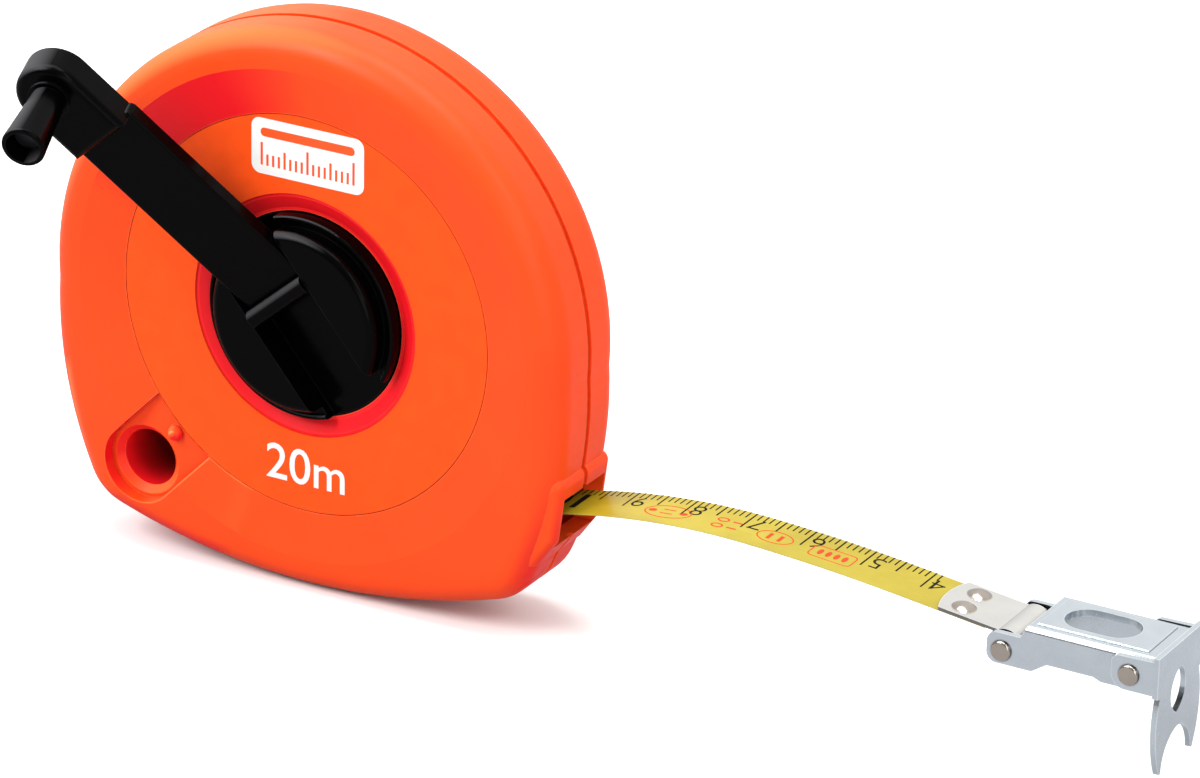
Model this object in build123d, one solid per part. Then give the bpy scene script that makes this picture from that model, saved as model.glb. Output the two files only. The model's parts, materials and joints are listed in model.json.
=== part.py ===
from build123d import *
from math import cos, pi, radians, sin, sqrt
import os

# Surveyor tape reel: a closed two-shell case, a crank-wound reel with 20 m of steel blade,
# and a folding steel hook at the blade's zero end.
# Frame: origin on the reel axis at the rear face, +X the way the blade is pulled, +Z up,
# and the label side of the case faces -Y. Millimetres.

# ---- case ----
CASE_RADIUS = 45.0
CASE_DEPTH = 18.6                 # rear face to the raised front ring
LABEL_Y = -17.0                   # flat of the front label
SEAM_Y = -9.3                     # joint between the shells, also the middle of the blade
WALL = 1.8
SHOULDER = (44.9, -3.0)           # where the round top turns into the side
SIDE_MID = (43.3, -22.0)
FOOT = (37.4, -38.0)              # lower corner before rounding
BASE_Z = -44.6
CORNER_RADIUS = 9.0
EDGE_RADIUS = 4.2
SEAM_GROOVE = 0.6
LABEL_RADIUS = 32.0
LABEL_THICKNESS = 0.25
LABEL_GAP = 0.15
DISH_RADIUS = 39.6                # inner edge of the raised front ring
WELL_RADIUS = 19.45
WELL_DEPTH = 1.2
BEARING_RADIUS = 16.4
INNER_FRONT_Y = -15.5
INNER_REAR_Y = -1.8

# ---- blade mouth ----
MOUTH_X = 45.0
MOUTH_Z = (-28.8, -20.3)
MOUTH_WIDTH = 12.2
BOSS_Z = (-31.8, -17.0)
BOSS_Y = (-17.0, -1.6)
BOSS_EDGE = 1.5

# ---- reel ----
BLADE_WIDTH = 10.0
BLADE_THICKNESS = 0.13
BLADE_LENGTH = 19900.0
COIL_RADIUS = 31.4
CORE_RADIUS = sqrt(COIL_RADIUS**2 - BLADE_LENGTH * BLADE_THICKNESS / pi)
LEAD_RADIUS = 31.6
FLANGE_RADIUS = 33.2
FLANGE_THICKNESS = 0.6
FLANGE_GAP = 0.3
AXLE_RADIUS = 4.0
AXLE_END_Y = -12.0
RUNNING_GAP = 0.05
HUB_RADIUS = 16.2
HUB_RIM_Y = -18.2
LEDGE_Y = -17.5
LEDGE_RADIUS = 15.5
PLATEAU_RADIUS = 14.4
PLATEAU_Y = -20.8
CHANNEL_WIDTH = 12.6
CHANNEL_FLOOR_Y = -15.9

# ---- crank ----
ARM_ANGLE = 130.4                 # direction of the unfolded arm, from +X towards +Z
ARM_TILT = 21.7                   # the unfolded arm leans out of the hub plane
HINGE_OFFSET = 3.8
HINGE_Y = -20.0
HINGE_PIN_RADIUS = 0.5
HINGE_PIN_LENGTH = 17.0
BARREL_RADIUS = 1.5
ARM_WIDTH = 12.2
ARM_LENGTH = 47.3                 # hinge to knob axis
ARM_FRONT = -0.9                  # heights are measured from the hinge axis
ARM_BACK = -3.4
BAR_OVERLAP = 1.2                 # the bar runs on past the start of the head
BAR_EDGE = 0.45
HEAD_RADIUS = 5.5
HEAD_START = 36.9
HEAD_FRONT = 2.0
HEAD_EDGE = 1.3
COLLAR_RADIUS = 3.2
COLLAR_HEIGHT = 0.4
KNOB_RADIUS = (2.6, 3.4)           # sleeve at the arm and at its outer end
KNOB_END = 14.2
STUD_RADIUS = 1.5
STUD_HEAD_RADIUS = 2.3
STUD_HEAD_Z = 10.4

# ---- knob parking hole in the front shell ----
PARK_RADIUS = 41.9
PARK_ANGLE = 226.6
PARK_FACE_Y = -16.3               # floor of the recess round the hole
PARK_HOLE_RADIUS = 4.6
PARK_TUBE_RADIUS = 5.7
PARK_FLOOR_Y = -2.9
DETENT_RADIUS_FROM_AXIS = 34.0
DETENT_RADIUS = 1.25

# ---- free blade and hook ----
MOUTH_POINT = (46.4, -22.6)       # blade at the mouth
MOUTH_SLOPE = 11.0                # degrees above +X
FIRST_ARC = (118.9, 13.4)         # radius and sweep of the blade's droop
SECOND_ARC = (323.7, 4.5)
STRAIGHT_END_X = 114.0
TAIL_START_X = 33.0
SHEET = 0.9
PLATE_SHEET = 0.5
KNUCKLE = (117.5, -26.5)
KNUCKLE_RADIUS = 2.8
KNUCKLE_PIN_RADIUS = 1.0
PLATE_START_X = 106.4
PLATE_BULGE = 1.0
RIVET_X = 109.3
RIVET_SPACING = 5.0
RIVET_HEAD_RADIUS = 1.95
RIVET_SHANK = 0.8
BRACKET_WIDTH = 13.0
BRACKET_TOP_Z = -21.8
PANEL_BORDER = 1.6
PANEL_RISE = 0.25
BRACKET_X = (121.4, 141.6)
CLAW_PIN = (138.2, -24.7)
CLAW_PIN_RADIUS = 1.0
PIN_HEAD_RADIUS = 1.6
CLAW_WIDTH = 15.0
CLAW_X = 142.0
CLAW_TOP_Z = -21.2
CLAW_TIP_Z = -40.3
CLAW_CROTCH_Z = -34.6
SLOT_X = (124.6, 136.4)
SLOT_WIDTH = 7.2

SCREW_PLACES = [
    (39.4 * cos(radians(48)), 39.4 * sin(radians(48))),
    (39.4 * cos(radians(132)), 39.4 * sin(radians(132))),
    (32.4, -33.2),
    (-16.5, -38.2),
]
POST_RADIUS = 2.7
HUB_SCREW_CIRCLE = 8.7


def prism(profile, back, front):
    """An X-Z profile extruded forward, from y = back to y = front."""
    return extrude(Plane.XZ.offset(-back) * profile, amount=back - front)


def between(profile, one_y, other_y):
    """A prism between two places along the reel axis, given in either order."""
    return prism(profile, max(one_y, other_y), min(one_y, other_y))


def disc(radius, back, front, x=0.0, z=0.0):
    return prism(Pos(x, z) * Circle(radius), back, front)


def ring(outer, inner, back, front, x=0.0, z=0.0):
    return disc(outer, back, front, x, z) - disc(inner, back + 1, front - 1, x, z)


def block(x_range, y_range, z_range):
    size = [high - low for low, high in (x_range, y_range, z_range)]
    middle = [(high + low) / 2 for low, high in (x_range, y_range, z_range)]
    return Pos(*middle) * Box(*size)


def turned(points):
    """A solid of revolution about the reel axis from (radius, y) points."""
    profile = make_face(Plane.XY * Polyline(*points, close=True))
    return revolve(profile, Axis.Y)


def cone_cut(radius_back, back, radius_front, front):
    return turned([(0, back), (radius_back, back), (radius_front, front), (0, front)])


def at_angle(radius, degrees):
    return radius * cos(radians(degrees)), radius * sin(radians(degrees))


# ---------------------------------------------------------------- case

def case_profile(inset=0.0):
    """Round top, gently closing sides, slightly bowed base."""
    left = [(-x, z) for x, z in (SHOULDER, SIDE_MID, FOOT)]
    edges = [
        ThreePointArc(SHOULDER, (0, CASE_RADIUS), left[0]),
        ThreePointArc(left[0], left[1], left[2]),
        ThreePointArc(left[2], (0, BASE_Z), FOOT),
        ThreePointArc(FOOT, SIDE_MID, SHOULDER),
    ]
    face = make_face(Curve() + edges)
    feet = [v for v in face.vertices() if v.Y < -30]
    face = fillet(feet, CORNER_RADIUS)
    return offset(face, amount=-inset) if inset else face


def boss_profile():
    """The squared lip round the blade mouth."""
    low, high = BOSS_Z
    corners = [
        (36.0, low), (40.4, low), (MOUTH_X - 1.3, low + 4.6), (MOUTH_X, high), (36.0, high),
    ]
    face = make_face(Polyline(*corners, close=True))
    return fillet(face.vertices().sort_by(Axis.X)[-2:], BOSS_EDGE)


def half_case(face_y):
    """The outer solid of one shell: rounded face edge, and a step back at the seam."""
    step = -SEAM_GROOVE if face_y < SEAM_Y else SEAM_GROOVE
    body = between(case_profile(), SEAM_Y + step, face_y)
    face = body.faces().sort_by(Axis.Y)[0 if step < 0 else -1]
    body = fillet(face.edges(), EDGE_RADIUS)
    body += between(case_profile(SEAM_GROOVE), SEAM_Y, SEAM_Y + 2 * step)
    return body + mouth_boss(step)


def mouth_boss(step):
    """Half of the squared lip, rounded where it meets the side of the case."""
    outer_y = BOSS_Y[0] if step < 0 else BOSS_Y[1]
    boss = between(boss_profile(), SEAM_Y + step, outer_y)
    outer = boss.faces().sort_by(Axis.Y)[0 if step < 0 else -1]
    boss = fillet([e for e in outer.edges() if e.center().X > 42], BOSS_EDGE)
    core = offset(boss_profile(), amount=-SEAM_GROOVE)
    return boss + between(core, SEAM_Y, SEAM_Y + 2 * step)


def mouth_cut():
    half = MOUTH_WIDTH / 2
    return block((30.0, 50.0), (SEAM_Y - half, SEAM_Y + half), MOUTH_Z)


def posts(back, front):
    solids = [disc(POST_RADIUS, back, front, x, z) for x, z in SCREW_PLACES]
    return sum(solids[1:], solids[0])


def front_shell():
    shell = half_case(-CASE_DEPTH)
    shell -= prism(case_profile(WALL), SEAM_Y + 1, INNER_FRONT_Y)
    shell -= cone_cut(LABEL_RADIUS, LABEL_Y, DISH_RADIUS, -CASE_DEPTH - 0.05)
    shell -= disc(LABEL_RADIUS, LABEL_Y + LABEL_THICKNESS, -CASE_DEPTH - 1)
    shell -= cone_cut(BEARING_RADIUS + 0.5, LABEL_Y + WELL_DEPTH, WELL_RADIUS, LABEL_Y)
    shell -= disc(WELL_RADIUS, LABEL_Y, -CASE_DEPTH - 1)
    shell -= disc(BEARING_RADIUS, 0, -CASE_DEPTH)
    shell += posts(SEAM_Y, INNER_FRONT_Y)
    x, z = at_angle(PARK_RADIUS, PARK_ANGLE)
    shell += disc(PARK_TUBE_RADIUS, PARK_FLOOR_Y + 1.0, INNER_FRONT_Y, x, z)
    shell -= parking_channel()
    shell += detent()
    shell -= disc(PARK_HOLE_RADIUS, PARK_FLOOR_Y, -CASE_DEPTH - 1, x, z)
    shell -= parking_rim_cut(x, z)
    shell -= mouth_cut()
    for x, z in SCREW_PLACES:
        shell -= disc(1.0, SEAM_Y + 1, INNER_FRONT_Y - 0.6, x, z)
    return shell


def parking_channel():
    """Round-ended recess that takes the folded arm head."""
    width = CHANNEL_WIDTH
    run = Pos(PARK_RADIUS / 2 + 10, 0) * Rectangle(PARK_RADIUS - 20, width)
    end = Pos(PARK_RADIUS, 0) * Circle(width / 2)
    shape = Rot(0, 0, PARK_ANGLE) * (run + end)
    return prism(shape, PARK_FACE_Y, -CASE_DEPTH - 1) - disc(LABEL_RADIUS + 0.01, 0, -30)


def parking_rim_cut(x, z):
    """Dished lead-in round the parking hole."""
    dish = Cone(PARK_HOLE_RADIUS + 1.0, PARK_HOLE_RADIUS, 1.0)
    return Pos(x, PARK_FACE_Y + 0.5, z) * Rot(-90, 0, 0) * dish


def detent():
    x, z = at_angle(DETENT_RADIUS_FROM_AXIS, PARK_ANGLE)
    return Pos(x, PARK_FACE_Y - 0.3, z) * Sphere(DETENT_RADIUS)


def rear_shell():
    shell = half_case(0.0)
    shell -= prism(case_profile(WALL), INNER_REAR_Y, SEAM_Y - 1)
    shell += posts(INNER_REAR_Y, SEAM_Y)
    shell += disc(AXLE_RADIUS + 3, INNER_REAR_Y, INNER_REAR_Y - 0.4)
    shell += disc(AXLE_RADIUS, INNER_REAR_Y, AXLE_END_Y)
    shell -= disc(1.1, -3.2, AXLE_END_Y - 1)
    shell -= ring(LABEL_RADIUS, 8.0, 1.0, -LABEL_THICKNESS)
    shell -= mouth_cut()
    for x, z in SCREW_PLACES:
        shell -= disc(1.2, 1, SEAM_Y - 1, x, z)
        shell -= disc(2.0, 1, -2.4, x, z)
    return shell


def front_label():
    return ring(LABEL_RADIUS - LABEL_GAP, WELL_RADIUS, LABEL_Y + LABEL_THICKNESS, LABEL_Y)


def rear_label():
    return ring(LABEL_RADIUS - LABEL_GAP, 8.0 + LABEL_GAP, 0.0, -LABEL_THICKNESS)


def cross_recess(x, z, surface_y, towards):
    """A cross slot sunk in a screw head; towards is +1 for a head that faces the rear."""
    depth = (surface_y + 0.1 * towards, surface_y - 0.7 * towards)
    back, front = max(depth), min(depth)
    cross = Rectangle(2.2, 0.5) + Rectangle(0.5, 2.2)
    return prism(Pos(x, z) * cross, back, front)


def case_screws():
    screws = []
    for x, z in SCREW_PLACES:
        screw = disc(1.85, -1.2, -2.4, x, z) + disc(1.0, -2.4, -15.0, x, z)
        screws.append(screw - cross_recess(x, z, -1.2, 1))
    return Compound(children=screws)


def reel_washer():
    return ring(6.2, 1.15, AXLE_END_Y, AXLE_END_Y - 0.5)


def reel_screw():
    screw = disc(2.3, AXLE_END_Y - 0.5, AXLE_END_Y - 1.6) + disc(1.1, -3.4, AXLE_END_Y - 0.5)
    return screw - cross_recess(0, 0, AXLE_END_Y - 1.6, -1)


# ---------------------------------------------------------------- reel

COIL_Y = (SEAM_Y - BLADE_WIDTH / 2, SEAM_Y + BLADE_WIDTH / 2)
FRONT_FLANGE_Y = COIL_Y[0] - FLANGE_GAP
REAR_FLANGE_Y = COIL_Y[1] + FLANGE_GAP
ARM_UNIT = (cos(radians(ARM_ANGLE)), sin(radians(ARM_ANGLE)))
HINGE = (HINGE_OFFSET * ARM_UNIT[0], HINGE_Y, HINGE_OFFSET * ARM_UNIT[1])


def hinge_axis_cylinder(radius, length):
    """A cylinder on the crank's hinge axis, which crosses the arm in the hub plane."""
    across = (ARM_UNIT[1], 0, -ARM_UNIT[0])
    place = Plane(origin=HINGE, z_dir=across)
    return place * Cylinder(radius, length)


def hub():
    """Glossy turning disc: rim, raised plateau and the channel that the arm folds through."""
    back = FRONT_FLANGE_Y - FLANGE_THICKNESS
    rim = disc(HUB_RADIUS, back, HUB_RIM_Y)
    rim -= disc(LEDGE_RADIUS, LEDGE_Y, HUB_RIM_Y - 1)
    rim = fillet(rim.faces().sort_by(Axis.Y)[0].edges(), 0.3)
    plateau = disc(PLATEAU_RADIUS, back, PLATEAU_Y)
    plateau = fillet(plateau.faces().sort_by(Axis.Y)[0].edges(), 1.3)
    body = rim + plateau
    channel = Rot(0, 0, ARM_ANGLE) * Rectangle(3 * HUB_RADIUS, CHANNEL_WIDTH)
    body -= prism(channel, CHANNEL_FLOOR_Y, PLATEAU_Y - 1)
    body -= hinge_axis_cylinder(HINGE_PIN_RADIUS, HINGE_PIN_LENGTH)
    for angle in (0, 120, 240):
        x, z = at_angle(HUB_SCREW_CIRCLE, ARM_ANGLE + angle)
        body -= disc(0.9, back + 1, back - 1.3, x, z)
    return body


def hinge_pin():
    return hinge_axis_cylinder(HINGE_PIN_RADIUS, HINGE_PIN_LENGTH)


def flange(back):
    """Thin side plate of the drum, lightened by six round windows."""
    plate = ring(FLANGE_RADIUS, AXLE_RADIUS + 3.0, back, back - FLANGE_THICKNESS)
    for step in range(6):
        x, z = at_angle(23.0, 60 * step)
        plate -= disc(4.5, back + 1, back - 2, x, z)
    return plate


def front_flange():
    plate = flange(FRONT_FLANGE_Y)
    for angle in (0, 120, 240):
        x, z = at_angle(HUB_SCREW_CIRCLE, ARM_ANGLE + angle)
        plate -= disc(0.9, 0, -20, x, z)
    return plate


def rear_flange():
    return flange(REAR_FLANGE_Y + FLANGE_THICKNESS) - disc(CORE_RADIUS - 1.0, 0, -20)


def drum():
    """Core that the blade winds on, with the bearing bore for the rear shell's post."""
    body = disc(CORE_RADIUS, REAR_FLANGE_Y, FRONT_FLANGE_Y)
    body += disc(CORE_RADIUS - 1.0, -2.4, REAR_FLANGE_Y)
    body -= disc(AXLE_RADIUS + RUNNING_GAP, 0, AXLE_END_Y + 0.1)
    body -= disc(6.5, AXLE_END_Y + 0.1, FRONT_FLANGE_Y - 1)
    for angle in (0, 120, 240):
        x, z = at_angle(HUB_SCREW_CIRCLE, ARM_ANGLE + angle)
        body -= disc(0.9, 0, -20, x, z)
        body -= disc(2.0, 0, -9.0, x, z)
    body -= anchor_slot()
    return body


def anchor_slot():
    return block((CORE_RADIUS - 2.2, CORE_RADIUS + 1.0), COIL_Y, (-0.8, 0.8))


def anchor_clip():
    """Sprung steel wedge that pins the blade's inner end in the drum slot."""
    half = BLADE_WIDTH / 2 - 0.4
    y_range = (SEAM_Y - half, SEAM_Y + half)
    clip = block((CORE_RADIUS - 2.2, CORE_RADIUS - 0.1), y_range, (-0.8, 0.8))
    return clip - block((CORE_RADIUS - 1.7, CORE_RADIUS + 1), (-20, 0), (-0.4, 0.4))


def hub_screws():
    screws = []
    for angle in (0, 120, 240):
        x, z = at_angle(HUB_SCREW_CIRCLE, ARM_ANGLE + angle)
        screw = disc(1.8, -8.0, -9.0, x, z) + disc(0.9, -9.0, -16.3, x, z)
        screws.append(screw - cross_recess(x, z, -8.0, 1))
    return Compound(children=screws)


def blade_coil():
    return ring(COIL_RADIUS, CORE_RADIUS, COIL_Y[1], COIL_Y[0])


# ---------------------------------------------------------------- crank

ARM_LEAN = (cos(radians(ARM_TILT)), sin(radians(ARM_TILT)))
ARM_PLANE = Plane(
    origin=HINGE,
    x_dir=(ARM_UNIT[0] * ARM_LEAN[0], -ARM_LEAN[1], ARM_UNIT[1] * ARM_LEAN[0]),
    z_dir=(-ARM_UNIT[0] * ARM_LEAN[1], -ARM_LEAN[0], -ARM_UNIT[1] * ARM_LEAN[1]),
)


def upright(radius, low, high, along=0.0):
    """A cylinder square to the arm, between two heights above the hinge axis."""
    return Pos(along, 0, (low + high) / 2) * Cylinder(radius, high - low)


def crank_arm():
    """Flat bar with a barrel at the hinge and a thicker rounded head at the knob."""
    end = HEAD_START + BAR_OVERLAP
    side = [
        (-1.1, -0.4), (-1.1, ARM_BACK + 0.9), (-0.2, ARM_BACK), (end, ARM_BACK),
        (end, ARM_FRONT), (1.0, ARM_FRONT), (0.6, 0.0), (-0.8, 0.0),
    ]
    profile = make_face(Plane.XZ * Polyline(*side, close=True))
    bar = extrude(profile, amount=ARM_WIDTH / 2, both=True)
    bar = fillet(bar.edges().filter_by(Axis.Z).sort_by(Axis.X)[-2:], BAR_OVERLAP)
    rims = [e for e in bar.edges().filter_by(Axis.X) if e.center().Z > ARM_FRONT - 0.1]
    bar = fillet(rims, BAR_EDGE)
    head = Pos((HEAD_START + ARM_LENGTH) / 2, 0) * Rectangle(
        ARM_LENGTH - HEAD_START, 2 * HEAD_RADIUS)
    head += Pos(ARM_LENGTH, 0) * Circle(HEAD_RADIUS)
    head = extrude(Pos(0, 0, ARM_BACK) * head, amount=HEAD_FRONT - ARM_BACK)
    head = fillet(head.faces().sort_by(Axis.Z)[-1].edges(), HEAD_EDGE)
    barrel = Rot(90, 0, 0) * Cylinder(BARREL_RADIUS, ARM_WIDTH)
    arm = bar + head + barrel
    arm += upright(COLLAR_RADIUS, HEAD_FRONT, HEAD_FRONT + COLLAR_HEIGHT, ARM_LENGTH)
    arm -= Rot(90, 0, 0) * Cylinder(HINGE_PIN_RADIUS + RUNNING_GAP, ARM_WIDTH + 1)
    arm -= upright(STUD_RADIUS, ARM_BACK + 1.2, 3.0, ARM_LENGTH)
    return ARM_PLANE * arm


def knob_stud():
    """Headed steel stud that the knob turns on."""
    stud = upright(STUD_RADIUS, ARM_BACK + 1.2, STUD_HEAD_Z, ARM_LENGTH)
    stud += upright(STUD_HEAD_RADIUS, STUD_HEAD_Z, STUD_HEAD_Z + 0.8, ARM_LENGTH)
    return ARM_PLANE * stud


def crank_knob():
    """Turning sleeve, open at the outer end where the stud's head sits."""
    low = HEAD_FRONT + COLLAR_HEIGHT + 0.1
    sleeve = Pos(ARM_LENGTH, 0, (low + KNOB_END) / 2) * Cone(*KNOB_RADIUS, KNOB_END - low)
    sleeve = fillet(sleeve.faces().sort_by(Axis.Z)[-1].edges(), 0.4)
    sleeve -= upright(STUD_RADIUS + RUNNING_GAP, 0, KNOB_END, ARM_LENGTH)
    sleeve -= upright(STUD_HEAD_RADIUS + 0.35, STUD_HEAD_Z - 0.1, KNOB_END + 1, ARM_LENGTH)
    return ARM_PLANE * sleeve


# ---------------------------------------------------------------- blade

def heading(degrees):
    return cos(radians(degrees)), sin(radians(degrees))


def ribbon(path, low_y, high_y):
    strip = trace(path, BLADE_THICKNESS)
    return prism(strip, high_y, low_y)


def mouth_line_point(x):
    """A point on the straight stretch of blade just inside the mouth."""
    rise = sin(radians(MOUTH_SLOPE)) / cos(radians(MOUTH_SLOPE))
    return x, MOUTH_POINT[1] + (x - MOUTH_POINT[0]) * rise


def free_path():
    """Blade from inside the mouth, arching over and drooping to the hook."""
    inner = Line(mouth_line_point(TAIL_START_X), MOUTH_POINT)
    first = JernArc(MOUTH_POINT, heading(MOUTH_SLOPE), FIRST_ARC[0], -FIRST_ARC[1])
    second = JernArc(first @ 1, first % 1, SECOND_ARC[0], -SECOND_ARC[1])
    start, way = second @ 1, second % 1
    reach = (STRAIGHT_END_X - start.X) / way.X
    end = (start.X + reach * way.X, start.Y + reach * way.Y)
    return inner, first, second, Line((start.X, start.Y), end)


def rivet_places():
    return [(RIVET_X, SEAM_Y + side * RIVET_SPACING / 2) for side in (-1, 1)]


def rivet_hole(x, y):
    """Clearance for a rivet shank, square to the blade's straight end."""
    point, way = plate_line()
    surface = point.Y + (x - point.X) * way.Y / way.X
    tilt = Vector(way.X, way.Y).get_angle(Vector(1, 0))
    return Pos(x, y, surface) * Rot(0, tilt, 0) * Cylinder(RIVET_SHANK, 4)


def blade_run():
    inner, first, second, last = free_path()
    body = ribbon(Curve() + [inner, first, second, last], *COIL_Y)
    for x, y in rivet_places():
        body -= rivet_hole(x, y)
    return body


def blade_lead():
    """Blade between the coil and the mouth, tangent to the coil's outer turn."""
    touch = (LEAD_RADIUS * sin(radians(MOUTH_SLOPE)), -LEAD_RADIUS * cos(radians(MOUTH_SLOPE)))
    end = mouth_line_point(TAIL_START_X - 0.2)
    return ribbon(Line(touch, end), *COIL_Y)


def plate_line():
    """Top surface line of the blade's straight end, as a point and a direction."""
    last = free_path()[3]
    return last @ 1, last % 1


def end_plate():
    """Steel tongue riveted on the blade and rolled into the hook's knuckle."""
    point, way = plate_line()
    lift = BLADE_THICKNESS / 2 + PLATE_SHEET / 2
    normal = (-way.Y, way.X)
    centre = (point.X + lift * normal[0], point.Y + lift * normal[1])
    start_x = PLATE_START_X - PLATE_BULGE
    back = (start_x - centre[0]) / way.X
    ahead = (KNUCKLE[0] - centre[0]) / way.X
    ends = [(centre[0] + step * way.X, centre[1] + step * way.Y) for step in (back, ahead)]
    tongue = prism(trace(Line(*ends), PLATE_SHEET), COIL_Y[1], COIL_Y[0])
    edge = ThreePointArc(
        (PLATE_START_X, COIL_Y[0]), (start_x, SEAM_Y), (PLATE_START_X, COIL_Y[1]))
    plan = make_face(edge + Polyline(
        (PLATE_START_X, COIL_Y[1]), (KNUCKLE[0] + 5, COIL_Y[1]),
        (KNUCKLE[0] + 5, COIL_Y[0]), (PLATE_START_X, COIL_Y[0])))
    tongue &= extrude(Pos(0, 0, -30) * plan, amount=12)
    tongue += disc(KNUCKLE_RADIUS, COIL_Y[1], COIL_Y[0], *KNUCKLE)
    tongue -= disc(KNUCKLE_PIN_RADIUS + RUNNING_GAP, 0, -20, *KNUCKLE)
    for x, y in rivet_places():
        tongue -= rivet_hole(x, y)
    return tongue


def end_rivets():
    """Two domed rivets: heads on the tongue, tails closed under the blade."""
    point, way = plate_line()
    tilt = Vector(way.X, way.Y).get_angle(Vector(1, 0))
    under = -BLADE_THICKNESS / 2
    over = BLADE_THICKNESS / 2 + PLATE_SHEET
    dome = Pos(0, 0, over - 2.3) * Sphere(3.0) & Pos(0, 0, over + 0.5) * Cylinder(
        RIVET_HEAD_RADIUS, 1.0)
    shank = Pos(0, 0, (under + over) / 2) * Cylinder(RIVET_SHANK, over - under)
    tail = Pos(0, 0, under - 0.2) * Cylinder(1.3, 0.4)
    rivets = []
    for x, y in rivet_places():
        surface = point.Y + (x - point.X) * way.Y / way.X
        rivets.append(Pos(x, y, surface) * Rot(0, tilt, 0) * (dome + shank + tail))
    return Compound(children=rivets)


# ---------------------------------------------------------------- hook

BRACKET_Y = (SEAM_Y - BRACKET_WIDTH / 2, SEAM_Y + BRACKET_WIDTH / 2)
CLAW_Y = (SEAM_Y - CLAW_WIDTH / 2, SEAM_Y + CLAW_WIDTH / 2)


def bracket_side():
    """Side wall outline, notched below for the folded claw."""
    start, end = BRACKET_X
    points = [
        (115.1, -28.6), (115.1, -23.7), (120.4, -23.7), (start, BRACKET_TOP_Z),
        (end, BRACKET_TOP_Z), (end, CLAW_PIN[1]), (CLAW_PIN[0] + 2.8, CLAW_PIN[1] - 2.8),
        (133.4, -27.5), (132.2, -27.0), (124.8, -27.0), (122.4, -28.6),
    ]
    face = make_face(Polyline(*points, close=True))
    ends = [v for v in face.vertices() if v.X < 116]
    face = fillet(ends, 1.6)
    steps = [v for v in face.vertices() if 121 < v.X < 126 and v.Y < -26]
    face = fillet(steps, 0.8)
    toe = [v for v in face.vertices() if v.X > 140.9 and v.Y < -27]
    return fillet(toe, 2.2)


def raised_panel():
    """Pressed-up panel on the bracket's top, inside a narrow border."""
    x_range = (BRACKET_X[0] + 0.9, BRACKET_X[1] - PANEL_BORDER)
    y_range = (BRACKET_Y[0] + PANEL_BORDER, BRACKET_Y[1] - PANEL_BORDER)
    panel = block(x_range, y_range, (BRACKET_TOP_Z - 0.3, BRACKET_TOP_Z + PANEL_RISE))
    return chamfer(panel.faces().sort_by(Axis.Z)[-1].edges(), 0.15)


def hook_bracket():
    body = prism(bracket_side(), BRACKET_Y[1], BRACKET_Y[0])
    top_edges = [
        e for e in body.edges().filter_by(Axis.X)
        if e.center().Z > BRACKET_TOP_Z - 0.1
    ]
    body = fillet(top_edges, 1.0)
    body += raised_panel()
    inner = (BRACKET_Y[0] + SHEET, BRACKET_Y[1] - SHEET)
    body -= block((110, 150), inner, (-40, BRACKET_TOP_Z - SHEET))
    body -= block((110, BRACKET_X[0]), inner, (-40, 0))
    middle = sum(SLOT_X) / 2
    slot = SlotOverall(SLOT_X[1] - SLOT_X[0], SLOT_WIDTH)
    body -= extrude(Pos(middle, SEAM_Y, -30) * slot, amount=20)
    body -= disc(KNUCKLE_PIN_RADIUS, 0, -20, *KNUCKLE)
    body -= disc(CLAW_PIN_RADIUS + RUNNING_GAP, 0, -20, *CLAW_PIN)
    return body


def headed_pin(radius, half_length, place):
    """Pin with a low round head at each end, along Y."""
    pin = disc(radius, SEAM_Y + half_length, SEAM_Y - half_length, *place)
    for side in (-1, 1):
        face = SEAM_Y + side * half_length
        ends = sorted((face, face + side * 0.55), reverse=True)
        head = disc(PIN_HEAD_RADIUS, *ends, *place)
        rim = head.faces().sort_by(Axis.Y)[-1 if side > 0 else 0]
        pin += fillet(rim.edges(), 0.35)
    return pin


def knuckle_pin():
    return headed_pin(KNUCKLE_PIN_RADIUS, BRACKET_WIDTH / 2, KNUCKLE)


def claw_face():
    """Face outline in Y-Z: broad top, waist notches, two curved talons."""
    half = CLAW_WIDTH / 2
    notch_z = -27.6
    right = [
        (half, CLAW_TOP_Z), (half, notch_z), (half - 0.9, notch_z - 0.2),
        (half - 0.6, notch_z - 1.2),
    ]
    outer = ThreePointArc(right[-1], (half - 0.1, -33.6), (half - 1.75, CLAW_TIP_Z + 0.35))
    tip = ThreePointArc(outer @ 1, (half - 2.1, CLAW_TIP_Z), (half - 2.45, CLAW_TIP_Z + 0.4))
    inner = ThreePointArc(tip @ 1, (half - 4.4, -36.0), (0, CLAW_CROTCH_Z))
    side = Curve() + [Polyline(*right), outer, tip, inner]
    top = Line((0, CLAW_TOP_Z), right[0])
    half_face = make_face(side + [top, Line((0, CLAW_CROTCH_Z), (0, CLAW_TOP_Z))])
    return half_face + mirror(half_face, Plane.YZ)


def claw_opening():
    """Nail hole: an upright eye that narrows to a point below."""
    left = ThreePointArc((0.3, -25.2), (-2.7, -28.0), (-0.6, -32.2))
    right = ThreePointArc((-0.6, -32.2), (2.1, -28.6), (0.3, -25.2))
    return make_face(left + right)


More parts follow.
